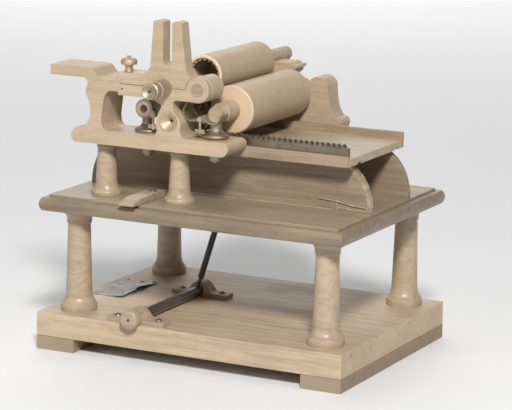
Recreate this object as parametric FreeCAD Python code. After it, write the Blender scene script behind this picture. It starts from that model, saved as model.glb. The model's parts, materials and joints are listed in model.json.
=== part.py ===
"""Wooden patent model of a small cylinder press, as separate pieces.

Millimetres. The origin is the centre of the base's footprint on the floor: +X runs to the
delivery end of the bed, +Y to the rear and +Z up. Every piece is one STEP file.
"""
import FreeCAD, Part
import math
import os

V = FreeCAD.Vector
os.makedirs("parts", exist_ok=True)

# ---------------------------------------------------------------- driving dimensions
RUN = 0.05            # running clearance of a shaft in its hole, on the radius
SEAT = 0.1            # clearance of a piece let into wood, on each side
GAP = 0.35            # free gap between pieces that move past each other

# base and table
BASE_W, BASE_D = 300.0, 224.0
CLEAT_H, CLEAT_W = 12.3, 38.0
BASE_T = 21.7
COL_X, COL_Y = 122.3, 84.1
COL_H, COL_R = 92.0, 16.2
TABLE_T = 14.5
PANEL_W, PANEL_D = 282.2, 209.8
PANEL_STEP = 2.6
MOULD_W = 6.9
SLOT_W = 9.0

# ways and bed
WAY_H, WAY_T = 44.0, 6.5
WAY_HALF = 139.0
WAY_END = 34.0
WAY_FRONT_Y, WAY_REAR_Y = -31.0, 49.0
GROOVE = 2.0
BED_LEFT, BED_RIGHT = -62.0, 126.0
BED_FRONT, BED_REAR = -55.5, 64.0
BED_T = 7.0
FASCIA_T, FASCIA_H = 2.3, 9.8
RIM_T, RIM_H = 4.0, 14.0
RACK_T = 6.0
TRAVEL = 72.0

# gears and rack
TOOTH_PITCH = 5.2
PINION_TEETH = 16
GEAR_TEETH = 18
GEAR_T = 3.0

# side frames
RAIL_T, RAIL_H = 12.7, 47.2      # thickness of the rails, height of their short columns
FRAME_FRONT, FRAME_THICK = -93.0, 36.0
BAR_DEPTH = 23.0
REAR_FRONT, REAR_THICK = 76.0, 22.0
SHORT_COL_R = 13.5
FRONT_COLS = (-99.9, -26.4)
REAR_COLS = (-40.0, 34.0)
PEDESTAL_Y = -75.0
LEFT_PED_X = -58.4

# rollers, as axis x, height of the axis above the rails and radius
BIG_X, BIG_RISE, BIG_R = 8.5, 21.1, 21.4
MID_X, MID_RISE = -29.0, 13.6
UP_X, UP_RISE, UP_R = -18.3, 49.8, 17.5
CRANK_X, CRANK_RISE, CRANK_R = -33.0, 43.0, 5.0
ROLL_FRONT, ROLL_REAR = -46.0, 70.0
JOURNAL_R = 6.8
SLEEVE_R, SLEEVE_HALF = 8.4, 8.0
JOURNAL_SHORT = -1.5             # front end of the journal, behind the bearing's middle
CAP_OPEN = 130.0                 # how far the right cap lies open, degrees
CAP_LIFT = 12.6                  # how far a closed cap can lift clear of its bush, degrees

# rock shaft on the base
ROCK_X, ROCK_RISE, ROCK_R = -51.5, 5.8, 4.8
LEVER_R, LEVER_LEAN, LEVER_L = 2.8, 17.2, 138.0

# ---------------------------------------------------------------- derived levels
BASE_TOP = CLEAT_H + BASE_T
TABLE_LOW = BASE_TOP + COL_H
TABLE_TOP = TABLE_LOW + TABLE_T
WAY_TOP = TABLE_TOP + WAY_H
BED_LOW = WAY_TOP - GROOVE + GAP
FLOOR_Z = BED_LOW + BED_T
RAIL_LOW = TABLE_TOP + RAIL_H
RAIL_TOP = RAIL_LOW + RAIL_T
BIG_Z, MID_Z = RAIL_TOP + BIG_RISE, RAIL_TOP + MID_RISE
UP_Z, CRANK_Z = RAIL_TOP + UP_RISE, RAIL_TOP + CRANK_RISE
PINION_R = PINION_TEETH * TOOTH_PITCH / (2 * math.pi)
PITCH_Z = MID_Z - PINION_R
CENTRES = math.hypot(CRANK_X - MID_X, CRANK_Z - MID_Z)
GEAR_R = CENTRES / 2
ADDENDUM, DEDENDUM = 1.4, 1.75
FRAME_REAR = FRAME_FRONT + FRAME_THICK
FRAME_MID = FRAME_FRONT + FRAME_THICK / 2
REAR_BACK = REAR_FRONT + REAR_THICK
REAR_MID = REAR_FRONT + REAR_THICK / 2
MID_R = math.hypot(BIG_X - MID_X, BIG_Z - MID_Z) - BIG_R - GAP
GEAR_Y = FRAME_REAR + 0.6
PINION_Y = GEAR_Y + GEAR_T + 0.3
RACK_Y = BED_FRONT + FASCIA_T
ROCK_Z = BASE_TOP + ROCK_RISE

# ---------------------------------------------------------------- fittings' own sizes
BAR_LEFT, BAR_LOW, BAR_TOP = -78.8, RAIL_TOP + 32.8, RAIL_TOP + 53.1
CRANK_BOSS_R = 15.0
END_BOSS_X, END_BOSS_Z, END_BOSS_R = -1.0, RAIL_TOP + 43.3, 11.2
DOWEL_R = 5.8
PRONG_T, FORK_TOP = 13.0, RAIL_TOP + 101.2
CLAMP_X, CLAMP_Y, CLAMP_R = -72.0, -86.0, 2.0
BUSH_R = 8.5
MID_SHAFT_R = 3.0
MID_SHAFT_Y = FRAME_MID + 4
STUD_R = 2.9
PIN_R = 1.3
HINGE_DX, HINGE_DZ = 10.4, 4.0
REAR_JOURNAL_R = 5.0
REAR_BAR_LOW, REAR_BAR_TOP = RAIL_TOP + 35.6, RAIL_TOP + 47.1
UP_JOURNAL_R, UP_STUB = 6.6, 60.0
UP_FRONT, UP_REAR, UP_FLOOR = -48.0, 58.0, -8.0
RING_SLOTS, RING_IN = 18, 1.4
BLOCK_FRONT, BLOCK_REAR, BLOCK_T = -108.0, 12.0, 13.0
LEVER_Y = BLOCK_REAR - 5.0
YOKE_GRIP, YOKE_PLAY = 5.0, 2.0      # height of lever held in the yoke, and its side play
LATCH_X, LATCH_Y, LATCH_TURN = -56.0, -70.0, 0.0
PLATE = (-143.0, -108.0, -30.0, 38.0)


# ---------------------------------------------------------------- shape helpers
def save(name, *solids):
    """Write one node; several solids stay separate in one compound."""
    shape = solids[0] if len(solids) == 1 else Part.makeCompound(list(solids))
    shape.exportStep("parts/%s.step" % name)


def block(x0, x1, y0, y1, z0, z1):
    return Part.makeBox(x1 - x0, y1 - y0, z1 - z0, V(x0, y0, z0))


def rod_y(x, z, r, y0, y1):
    return Part.makeCylinder(r, y1 - y0, V(x, y0, z), V(0, 1, 0))


def rod_z(x, y, r, z0, z1):
    return Part.makeCylinder(r, z1 - z0, V(x, y, z0), V(0, 0, 1))


def path(points, to3d):
    """Edges through points; a nested list is one smooth stretch through its points."""
    edges, last = [], None
    for item in points:
        if isinstance(item, list):
            stretch = ([last] if last else []) + item
            curve = Part.BSplineCurve()
            curve.interpolate([to3d(p) for p in stretch])
            edges.append(curve.toShape())
            last = item[-1]
        else:
            if last is not None and math.dist(last, item) > 1e-6:
                edges.append(Part.makeLine(to3d(last), to3d(item)))
            last = item
    return edges


def turned_z(x, y, z, outline):
    """Turned about a vertical axis from an outline of (radius, height above z)."""
    edges = path(outline + [outline[0]], lambda p: V(x + p[0], y, z + p[1]))
    return Part.Face(Part.Wire(edges)).revolve(V(x, y, z), V(0, 0, 1), 360)


def turned_y(x, z, y, outline):
    """Turned about an axis along Y from an outline of (radius, distance behind y)."""
    edges = path(outline + [outline[0]], lambda p: V(x + p[0], y + p[1], z))
    return Part.Face(Part.Wire(edges)).revolve(V(x, y, z), V(0, 1, 0), 360)


def plank(outline, y0, y1):
    """A board cut to an outline in XZ, from y0 to y1."""
    edges = path(outline + [outline[0]], lambda p: V(p[0], y0, p[1]))
    return Part.Face(Part.Wire(edges)).extrude(V(0, y1 - y0, 0))


def spun(solid, x, z, degrees):
    """A copy turned about the line along Y through (x, z); positive turns +Z to +X."""
    turned = solid.copy()
    turned.rotate(V(x, 0, z), V(0, 1, 0), degrees)
    return turned


def half_tooth(radius):
    """Half a tooth's angle at each of three radii: root, pitch circle and tip."""
    at_pitch = TOOTH_PITCH * 0.225 / radius
    return at_pitch * 1.55, at_pitch, at_pitch * 0.42


def gear(x, z, teeth, radius, y0, y1, bore, first):
    """A spur gear along Y whose first tooth points at angle first, from +X towards +Z."""
    root, tip = radius - DEDENDUM, radius + ADDENDUM
    at_root, at_pitch, at_tip = half_tooth(radius)
    corners = []
    for n in range(teeth):
        mid = math.radians(first) + 2 * math.pi * n / teeth
        for r, turn in ((root, -at_root), (radius, -at_pitch), (tip, -at_tip),
                        (tip, at_tip), (radius, at_pitch), (root, at_root)):
            corners.append((x + r * math.cos(mid + turn), z + r * math.sin(mid + turn)))
    return plank(corners, y0, y1).cut(rod_y(x, z, bore, y0 - 1, y1 + 1))


# ---------------------------------------------------------------- base
def base():
    half_w, half_d = BASE_W / 2, BASE_D / 2
    save("base_board", block(-half_w, half_w, -half_d, half_d, CLEAT_H, BASE_TOP))
    cleats = [block(x0, x0 + CLEAT_W, -half_d, half_d, 0, CLEAT_H)
              for x0 in (-half_w, half_w - CLEAT_W)]
    save("base_cleats", *cleats)


def columns():
    h, r = COL_H, COL_R
    outline = [(0, 0), (r, 0), [(r + 0.3, 3.0), (r - 0.1, 6.4)], (r - 1.4, 7.2), (r - 1.4, 8.2),
               [(r - 3.2, 11.0), (r - 4.3, 16.0), (r - 4.6, 24.0)],
               [(r - 5.2, 46.0), (r - 6.0, h - 13.0)],
               (r - 5.0, h - 12.0), (r - 5.0, h - 10.6), [(r - 4.6, h - 7.0), (r - 2.0, h - 3.6)],
               (r - 1.9, h), (0, h)]
    for side, y in (("front", -COL_Y), ("rear", COL_Y)):
        for end, x in (("left", -COL_X), ("right", COL_X)):
            save("column_%s_%s" % (side, end), turned_z(x, y, BASE_TOP, outline))


def table():
    half_w, half_d = PANEL_W / 2, PANEL_D / 2
    lean = math.tan(math.radians(LEVER_LEAN))
    reach = TABLE_TOP - ROCK_Z
    slot_right = ROCK_X + reach * lean + LEVER_R + 2.5
    slot_left = ROCK_X + reach * lean - TRAVEL * reach / lever_height() - LEVER_R - 2.5
    panel = block(-half_w, half_w, -half_d, half_d, TABLE_LOW, TABLE_TOP)
    slot = block(slot_left, slot_right, LEVER_Y - SLOT_W / 2, LEVER_Y + SLOT_W / 2,
                 TABLE_LOW - 1, TABLE_TOP + 1)
    save("table_panel", panel.cut(slot))
    thick = TABLE_T - PANEL_STEP
    section = [(0, 0), (MOULD_W - 2.0, 0), [(MOULD_W, thick * 0.5), (MOULD_W - 2.2, thick)],
               (0, thick)]

    def strip(length, depth, degrees):
        """A half-round strip mitred at both ends, then turned to its side of the table."""
        edges = path(section + [section[0]],
                     lambda p: V(-length / 2 - MOULD_W, -depth - p[0], TABLE_LOW + p[1]))
        raw = Part.Face(Part.Wire(edges)).extrude(V(length + 2 * MOULD_W, 0, 0))
        out = MOULD_W + 1
        keep = Part.Face(Part.makePolygon([
            V(-length / 2, -depth, 0), V(-length / 2 - out, -depth - out, 0),
            V(length / 2 + out, -depth - out, 0), V(length / 2, -depth, 0),
            V(-length / 2, -depth, 0)])).extrude(V(0, 0, TABLE_TOP + 10))
        piece = raw.common(keep)
        piece.rotate(V(0, 0, 0), V(0, 0, 1), degrees)
        return piece

    save("moulding_front", strip(PANEL_W, half_d, 0))
    save("moulding_rear", strip(PANEL_W, half_d, 180))
    save("moulding_right", strip(PANEL_D, half_w, 90))
    save("moulding_left", strip(PANEL_D, half_w, 270))


def ways():
    top, foot, w, e = WAY_TOP, TABLE_TOP, WAY_HALF, WAY_END
    tall = WAY_H
    right = [(w - e * (1 - math.sin(t)), foot + tall * math.cos(t))
             for t in (math.radians(a) for a in (15, 30, 45, 60, 75, 90))]
    left = [(-x, z) for x, z in reversed(right)]
    outline = [(-w + e, top), (w - e, top), right, left[0], left[1:] + [(-w + e, top)]]
    for side, y in (("front", WAY_FRONT_Y), ("rear", WAY_REAR_Y)):
        save("way_%s" % side, plank(outline, y - WAY_T / 2, y + WAY_T / 2))


# ---------------------------------------------------------------- side frames
def short_columns():
    h, r = RAIL_H, SHORT_COL_R
    outline = [(0, 0), (r, 0), [(r + 0.2, 2.0), (r - 0.4, 4.0)], (r - 1.4, 4.6),
               [(r - 3.0, 7.5), (r - 3.8, 12.0)], [(r - 4.6, 26.0), (r - 5.6, h - 6.0)],
               (r - 4.7, h - 5.2), (r - 4.7, h - 3.6), (r - 5.2, h - 2.6), (r - 4.4, h), (0, h)]
    spots = [("front", FRONT_COLS, FRAME_MID), ("rear", REAR_COLS, REAR_MID)]
    for side, xs, y in spots:
        for end, x in zip(("left", "right"), xs):
            save("short_column_%s_%s" % (side, end), turned_z(x, y, TABLE_TOP, outline))


def front_frame():
    """Rail, scrolled riser with its arm, and the pear-shaped upright, sawn from one board."""
    low, top = RAIL_LOW, RAIL_TOP
    outline = [
        (23.0, low), (-119.0, low), [(-125.6, low + 3.0), (-124.6, low + 10.0), (-117.0, top + 1.2)],
        [(-111.0, top + 4.2), (-107.6, top + 10.2), (-106.8, top + 17.0), (-107.8, top + 24.2),
         (-110.6, top + 29.5), (-111.4, top + 34.2), (-109.9, top + 39.2),
         (-110.6, top + 43.4), (-113.8, top + 45.4)],
        (-147.5, top + 45.4), (-147.5, top + 54.5), (-108.6, top + 54.5),
        [(-104.0, top + 52.5), (-100.6, top + 48.2), (-96.0, top + 45.4), (-91.0, top + 44.9)],
        (BAR_LEFT - SEAT, top + 44.9), (BAR_LEFT - SEAT, top + 35.6), (-87.6, top + 35.6),
        [(-91.2, top + 32.6), (-93.8, top + 25.6), (-94.9, top + 16.6), (-95.6, top + 7.6),
         (-94.0, top + 2.2), (-88.0, top)],
        (-46.0, top), [(-41.6, top + 1.6), (-40.2, top + 5.6), (-41.0, MID_Z), (-38.6, top + 20.6),
                       (-35.6, top + 27.6)],
        (-35.6, top + 31.6), (-24.4, top + 31.6), (-24.4, top + 27.6),
        [(-21.6, top + 20.6), (-17.0, MID_Z), (-17.4, top + 5.6), (-16.0, top + 1.6), (-12.0, top)],
        (24.0, top), [(29.6, top - 4.5), (28.4, top - 9.0), (23.0, low)]]
    board = plank(outline, FRAME_FRONT, FRAME_REAR)
    board = board.cut(rod_y(MID_X, MID_Z, BUSH_R + SEAT, FRAME_FRONT - 1, FRAME_REAR + 1))
    board = board.cut(rod_y(CRANK_X, CRANK_Z, CRANK_BOSS_R + SEAT, FRAME_FRONT - 1, FRAME_REAR + 1))
    for x in (LEFT_PED_X, BIG_X):
        board = board.cut(rod_z(x, PEDESTAL_Y, STUD_R + SEAT, low - 1, top + 1))
    save("front_frame", board)
    cone = Part.makeCone(BUSH_R - 1.2, 1.4, 7.0, V(MID_X, FRAME_FRONT - 0.5, MID_Z), V(0, 1, 0))
    bush = rod_y(MID_X, MID_Z, BUSH_R, FRAME_FRONT - 0.5, FRAME_REAR)
    bush = bush.cut(cone).cut(rod_y(MID_X, MID_Z, 1.3, FRAME_FRONT, FRAME_MID))
    save("roller_bush", bush.cut(rod_y(MID_X, MID_Z, MID_SHAFT_R + RUN, MID_SHAFT_Y, FRAME_REAR + 1)))


def rear_frame():
    """Rear rail with the upright of the middle roller, a bearing upright and an end post."""
    low, top = RAIL_LOW, RAIL_TOP
    post, post_r, post_top = 34.0, 10.0, top + 36.6
    outline = [
        (52.0, low), (-52.0, low), [(-57.4, low + 4.5), (-56.4, low + 9.0), (-51.0, top)],
        (-46.0, top), [(-41.6, top + 1.6), (-40.2, top + 5.6), (-41.0, MID_Z), (-38.6, top + 20.6),
                       (-35.6, top + 27.6)],
        (-35.6, REAR_BAR_LOW), (-23.2, REAR_BAR_LOW), (-23.2, top + 27.6),
        [(-20.2, top + 20.6), (-17.0, MID_Z), (-17.4, top + 5.6), (-14.0, top)],
        (BIG_X - 10.5, top), (BIG_X - 10.5, BIG_Z),
        [(BIG_X - 7.4, BIG_Z + 7.4), (BIG_X, BIG_Z + 10.5), (BIG_X + 7.4, BIG_Z + 7.4),
         (BIG_X + 10.5, BIG_Z)],
        (BIG_X + 10.5, top + 8.6), (post - post_r, top + 8.6), (post - post_r, post_top - post_r),
        [(post - 7.0, post_top - 2.9), (post, post_top), (post + 7.0, post_top - 2.9),
         (post + post_r, post_top - post_r)],
        [(post + 11.0, top + 15.6), (post + 13.5, top + 6.6), (post + 17.5, top)],
        (52.5, top), [(57.4, top - 4.5), (56.4, top - 9.0), (52.0, low)]]
    board = plank(outline, REAR_FRONT, REAR_BACK)
    board = board.cut(rod_y(MID_X, MID_Z, MID_SHAFT_R + RUN, REAR_FRONT - 1, REAR_BACK - 2))
    board = board.cut(rod_y(BIG_X, BIG_Z, REAR_JOURNAL_R + RUN, REAR_FRONT - 1, REAR_BACK - 2))
    save("rear_frame", board)
    bar = plank([(-45.0, REAR_BAR_LOW), (5.0, REAR_BAR_LOW), (8.6, REAR_BAR_LOW + 3.0),
                 (8.6, REAR_BAR_TOP - 3.2), (4.6, REAR_BAR_TOP), (-45.0, REAR_BAR_TOP)],
                REAR_FRONT, REAR_BACK)
    bar = bar.cut(rod_y(UP_X, UP_Z, UP_JOURNAL_R + RUN, REAR_FRONT - 1, REAR_BACK + 1))
    save("rear_bar", bar.fuse(rod_y(10.0, REAR_BAR_TOP - 3.6, 1.8, REAR_FRONT, REAR_BACK)))


def top_bar():
    """The bar over the front frame, split on the crank's axis, with the forked cap above."""
    front, back = FRAME_FRONT, FRAME_FRONT + BAR_DEPTH
    top, split = RAIL_TOP, CRANK_Z
    boss = rod_y(CRANK_X, CRANK_Z, CRANK_BOSS_R, front, back)
    bore = rod_y(CRANK_X, CRANK_Z, CRANK_R + RUN, front - 1, back + 1)
    screw = rod_z(CLAMP_X, CLAMP_Y, CLAMP_R + RUN, BAR_LOW + 2, BAR_TOP + 1)
    below = block(-200, 200, front - 5, 0, 0, split)
    above = block(-200, 200, front - 5, 0, split, 400)
    lower = block(BAR_LEFT, END_BOSS_X, front, back, BAR_LOW, split).fuse(boss.common(below))
    knuckle = turned_y(END_BOSS_X, END_BOSS_Z, front, [
        (0, 0), (END_BOSS_R - 0.8, 0), (END_BOSS_R, 0.8), (END_BOSS_R, 7.0),
        (END_BOSS_R - 0.5, 7.4), (END_BOSS_R - 0.5, 8.2), (END_BOSS_R, 8.6), (END_BOSS_R, 28.5),
        (0, 28.5)])
    dowel_hole = rod_y(END_BOSS_X, END_BOSS_Z, DOWEL_R, front - 1, front + 20)
    lower = lower.fuse(knuckle).cut(bore).cut(screw).cut(dowel_hole)
    save("top_bar", lower.removeSplitter())
    save("boss_dowel", rod_y(END_BOSS_X, END_BOSS_Z, DOWEL_R, front - 0.4, front + 20))

    cap = block(BAR_LEFT, END_BOSS_X - 6, front, back, split, BAR_TOP).fuse(boss.common(above))
    prong = front + PRONG_T
    cap = cap.fuse(plank([
        (-55.0, BAR_TOP - 2), [(-51.8, BAR_TOP + 1.6), (-48.4, top + 58.2), (-46.8, top + 63.6)],
        (-44.2, FORK_TOP - 1.0), [(-41.0, FORK_TOP), (-35.6, FORK_TOP - 0.5)],
        (-34.6, FORK_TOP - 1.2), (-34.6, top + 66.4),
        [(-33.2, top + 63.8), (-30.3, top + 62.6), (-27.4, top + 63.8), (-26.0, top + 66.4)],
        (-26.0, FORK_TOP - 1.2), [(-22.0, FORK_TOP), (-17.4, FORK_TOP - 0.8)],
        (-16.8, FORK_TOP - 2.0), (-14.6, top + 78.6),
        [(-12.9, top + 63.6), (-11.0, top + 57.6), (-7.0, top + 53.4)],
        (-7.0, BAR_TOP - 2)], front, prong))
    foot = plank([(-50.0, BAR_TOP - 2), (-46.0, top + 59.6), (-14.0, top + 59.6), (-8.5, BAR_TOP - 2)],
                 prong - 1, prong + 6)
    cap = cap.fuse(foot).cut(rod_y(END_BOSS_X, END_BOSS_Z, END_BOSS_R + SEAT, front - 1, back + 20))
    cap = cap.cut(bore).cut(screw)
    save("fork_cap", cap.removeSplitter())


def clamp_screw():
    z = BAR_TOP + GAP
    turn = [(0, BAR_LOW + 3 - z), (CLAMP_R, BAR_LOW + 3 - z), (CLAMP_R, 0), (3.9, 0), (3.4, 1.0),
            (3.4, 4.2), (3.9, 4.8), (3.9, 6.0), (7.0, 6.2), (7.3, 7.0), (7.3, 9.0),
            [(6.4, 10.6), (3.4, 12.0), (1.5, 12.4)], [(1.6, 13.4), (0, 14.2)]]
    save("clamp_screw", turned_z(CLAMP_X, CLAMP_Y, z, turn))


# ---------------------------------------------------------------- pedestal bearings
def handed(end, x, solid):
    """The left bearing is hinged on its right side, as the mirror image of the right one."""
    return solid.mirror(V(x, 0, 0), V(1, 0, 0)) if end == "left" else solid


def half_ring(x, z, upper):
    """Half of a bearing sleeve along Y, above or below its axis."""
    y0, y1 = PEDESTAL_Y - SLEEVE_HALF, PEDESTAL_Y + SLEEVE_HALF
    ring = rod_y(x, z, SLEEVE_R, y0, y1).cut(rod_y(x, z, JOURNAL_R + RUN, y0 - 1, y1 + 1))
    lift = GAP / 2 if upper else -GAP / 2
    z0, z1 = (z + lift, z + 20) if upper else (z - 20, z + lift)
    return ring.common(block(x - 20, x + 20, y0 - 1, y1 + 1, z0, z1))


def pedestal(end, x, raised):
    """Turned foot and stud with the lower half of the bearing and its hinge ears."""
    foot = RAIL_TOP + raised
    neck = BIG_Z - SLEEVE_R + 1.2 - foot
    body = turned_z(x, PEDESTAL_Y, foot, [
        (0, RAIL_LOW - 8.5 - foot), (STUD_R, RAIL_LOW - 8.5 - foot), (STUD_R, 0), (11.0, 0),
        (11.7, 0.9), [(11.4, 2.2), (8.6, 4.2), (6.0, 6.2), (5.2, 8.4)], (5.2, neck), (0, neck)])
    body = body.cut(rod_y(x, BIG_Z, JOURNAL_R + RUN, PEDESTAL_Y - 9, PEDESTAL_Y + 9))
    body = body.fuse(half_ring(x, BIG_Z, False))
    ears = [plank([(x - HINGE_DX - 2.2, BIG_Z - HINGE_DZ - 2.4), (x - 6.2, BIG_Z - HINGE_DZ - 3.6),
                   (x - JOURNAL_R - 0.4, BIG_Z - GAP), (x - HINGE_DX - 2.2, BIG_Z - HINGE_DZ + 2.2)],
                  y0, y0 + 3.0) for y0 in (PEDESTAL_Y - 8.0, PEDESTAL_Y + 5.0)]
    body = body.fuse(ears[0]).fuse(ears[1])
    body = body.cut(rod_y(x - HINGE_DX, BIG_Z - HINGE_DZ, PIN_R + RUN, PEDESTAL_Y - 20,
                          PEDESTAL_Y + 20))
    body = body.cut(rod_y(x, BIG_Z, JOURNAL_R + RUN, PEDESTAL_Y - 20, PEDESTAL_Y + 20))
    save("pedestal_%s" % end, handed(end, x, body.removeSplitter()))


def bearing_cap(end, x, opened):
    """The hinged upper half of the bearing, laid open by some degrees.

    Its bore is eased on the hinge side, so that it lifts without catching the bush.
    """
    hx, hz = x - HINGE_DX, BIG_Z - HINGE_DZ
    lug = plank([(hx - 2.2, hz - 1.8), (hx + 2.2, hz - 1.8), (x - JOURNAL_R - 0.5, BIG_Z + 0.5),
                 (x - JOURNAL_R - 1.2, BIG_Z + 4.2), (hx - 2.2, hz + 3.4)],
                PEDESTAL_Y - 4.6, PEDESTAL_Y + 4.6)
    lug = lug.cut(rod_y(x, BIG_Z, SLEEVE_R + GAP, PEDESTAL_Y - 20, PEDESTAL_Y + 20).common(
        block(x - 20, x + 20, PEDESTAL_Y - 20, PEDESTAL_Y + 20, BIG_Z - 20, BIG_Z + GAP / 2)))
    clasp = block(x + SLEEVE_R - 1.4, x + SLEEVE_R + 1.8, PEDESTAL_Y - 4, PEDESTAL_Y + 4,
                  BIG_Z + GAP / 2, BIG_Z + 2.6)
    clasp = clasp.cut(rod_y(x, BIG_Z, SLEEVE_R - 0.6, PEDESTAL_Y - 9, PEDESTAL_Y + 9))
    cap = half_ring(x, BIG_Z, True).fuse(lug).fuse(clasp)
    cap = cap.cut(rod_y(hx, hz, PIN_R + RUN, PEDESTAL_Y - 9, PEDESTAL_Y + 9))
    bore = rod_y(x, BIG_Z, JOURNAL_R + RUN, PEDESTAL_Y - 20, PEDESTAL_Y + 20)
    for share in (1, 2, 3):
        cap = cap.cut(spun(bore, hx, hz, CAP_LIFT * share / 3))
    save("bearing_cap_%s" % end, handed(end, x, spun(cap.removeSplitter(), hx, hz, -opened)))


def swing_bolt(end, x):
    """Eyebolt with a winged nut, hanging from the front end of the hinge pin."""
    hx, hz = x - HINGE_DX, BIG_Z - HINGE_DZ
    y0, y1 = PEDESTAL_Y - SLEEVE_HALF - 3.2, PEDESTAL_Y - SLEEVE_HALF - 0.4
    y = (y0 + y1) / 2
    eye = rod_y(hx, hz, 2.4, y0, y1)
    stem = rod_z(hx, y, 1.1, hz - 13.5, hz - 2.0)
    nut = rod_z(hx, y, 2.1, hz - 11.6, hz - 8.4)
    wings = block(hx - 4.6, hx + 4.6, y - 0.7, y + 0.7, hz - 12.4, hz - 8.8)
    bolt = eye.fuse(stem).fuse(nut).fuse(wings).cut(rod_y(hx, hz, PIN_R + RUN, y0 - 1, y1 + 1))
    save("swing_bolt_%s" % end, handed(end, x, bolt.removeSplitter()))


def pedestals():
    nuts, pins = [], []
    for end, x, raised, opened in (("left", LEFT_PED_X, 0.0, 0.0), ("right", BIG_X, 0.8, CAP_OPEN)):
        pedestal(end, x, raised)
        bearing_cap(end, x, opened)
        swing_bolt(end, x)
        nuts.append(rod_z(x, PEDESTAL_Y, 5.7, RAIL_LOW - 6.5, RAIL_LOW).cut(
            rod_z(x, PEDESTAL_Y, STUD_R, RAIL_LOW - 20, RAIL_TOP)))
        pin = rod_y(x - HINGE_DX, BIG_Z - HINGE_DZ, PIN_R, PEDESTAL_Y - SLEEVE_HALF - 3.6,
                    PEDESTAL_Y + SLEEVE_HALF + 0.4)
        pins.append(handed(end, x, pin))
    save("pedestal_nuts", *nuts)
    save("hinge_pins", *pins)
    save("bearing_bush", rod_y(LEFT_PED_X, BIG_Z, JOURNAL_R, PEDESTAL_Y - SLEEVE_HALF - 0.6,
                               PEDESTAL_Y + SLEEVE_HALF).cut(
        rod_y(LEFT_PED_X, BIG_Z, 3.6, PEDESTAL_Y - 20, PEDESTAL_Y + 20)))


# ---------------------------------------------------------------- rollers and crank
def rollers():
    save("middle_shaft", rod_y(MID_X, MID_Z, MID_SHAFT_R, MID_SHAFT_Y + 0.5, REAR_BACK - 2.5))
    save("middle_roller", rod_y(MID_X, MID_Z, MID_R, ROLL_FRONT + 0.5, BED_REAR - RIM_T - 2).cut(
        rod_y(MID_X, MID_Z, MID_SHAFT_R, -200, 200)))
    save("rack_pinion", gear(MID_X, MID_Z, PINION_TEETH, PINION_R, PINION_Y, ROLL_FRONT,
                             MID_SHAFT_R, -90))
    facing = math.degrees(math.atan2(CRANK_Z - MID_Z, CRANK_X - MID_X))
    save("middle_gear", gear(MID_X, MID_Z, GEAR_TEETH, GEAR_R, GEAR_Y, GEAR_Y + GEAR_T,
                             MID_SHAFT_R, facing))
    save("crank_gear", gear(CRANK_X, CRANK_Z, GEAR_TEETH, GEAR_R, GEAR_Y, GEAR_Y + GEAR_T,
                            CRANK_R, facing + 180 + 180.0 / GEAR_TEETH))

    shaft = turned_y(BIG_X, BIG_Z, 0, [
        (0, PEDESTAL_Y + JOURNAL_SHORT), (JOURNAL_R, PEDESTAL_Y + JOURNAL_SHORT),
        (JOURNAL_R, PEDESTAL_Y + SLEEVE_HALF + 0.5), (8.8, PEDESTAL_Y + SLEEVE_HALF + 0.5),
        (8.8, ROLL_FRONT), (REAR_JOURNAL_R, ROLL_FRONT), (REAR_JOURNAL_R, REAR_BACK - 2.5),
        (0, REAR_BACK - 2.5)])
    save("cylinder_shaft", shaft)
    body = turned_y(BIG_X, BIG_Z, 0, [
        (REAR_JOURNAL_R, ROLL_FRONT), (BIG_R - 1.0, ROLL_FRONT), (BIG_R, ROLL_FRONT + 1.0),
        (BIG_R, ROLL_REAR - 0.6), (BIG_R - 0.6, ROLL_REAR), (REAR_JOURNAL_R, ROLL_REAR)])
    save("cylinder_body", body)

    far = UP_REAR
    save("upper_cylinder", turned_y(UP_X, UP_Z, 0, [
        (UP_R - 2.4, UP_FRONT), (UP_R - 0.3, UP_FRONT), (UP_R, UP_FRONT + 0.3), (UP_R, far - 1.2),
        (UP_R - 1.2, far), (5.0 + RUN, far), (5.0 + RUN, UP_FLOOR), (UP_R - 2.4, UP_FLOOR)]))
    ring = rod_y(UP_X, UP_Z, UP_R - 2.4 - RUN, UP_FRONT + RING_IN, UP_FRONT + RING_IN + 3.0).cut(
        rod_y(UP_X, UP_Z, UP_R - 4.6, UP_FRONT, UP_FRONT + 20))
    for n in range(RING_SLOTS):
        bar = block(UP_X + UP_R - 5.2, UP_X + UP_R - 3.0, UP_FRONT + 0.5, UP_FRONT + 10,
                    UP_Z - 1.1, UP_Z + 1.1)
        ring = ring.cut(spun(bar, UP_X, UP_Z, 360.0 * n / RING_SLOTS))
    save("upper_ring", ring)
    journal = rod_y(UP_X, UP_Z, 5.0, UP_FLOOR, far).fuse(
        turned_y(UP_X, UP_Z, far, [(0, 0), (UP_JOURNAL_R, 0), (UP_JOURNAL_R, UP_STUB - 2.5),
                                   [(UP_JOURNAL_R - 1.0, UP_STUB - 0.8), (UP_JOURNAL_R - 3.4, UP_STUB)],
                                   (0, UP_STUB)]))
    save("upper_journal", journal.removeSplitter())


def crank():
    """Turned crank shaft: dished end, stepped collars, journal in the split boss."""
    y = FRAME_FRONT
    save("crank_shaft", turned_y(CRANK_X, CRANK_Z, y, [
        (1.3, -22.0), (1.3, -26.4), [(3.6, -27.3), (5.6, -28.6)], (6.6, -28.6), (6.7, -26.4),
        (6.0, -25.6), (6.0, -24.4), (7.2, -23.6), (7.2, -17.0), (6.2, -16.4), (6.2, -15.2),
        (7.6, -14.6), (7.6, -GAP), (CRANK_R, -GAP), (CRANK_R, GEAR_Y + GEAR_T + 0.2 - y),
        (0, GEAR_Y + GEAR_T + 0.2 - y), (0, -22.0)]))


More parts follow.
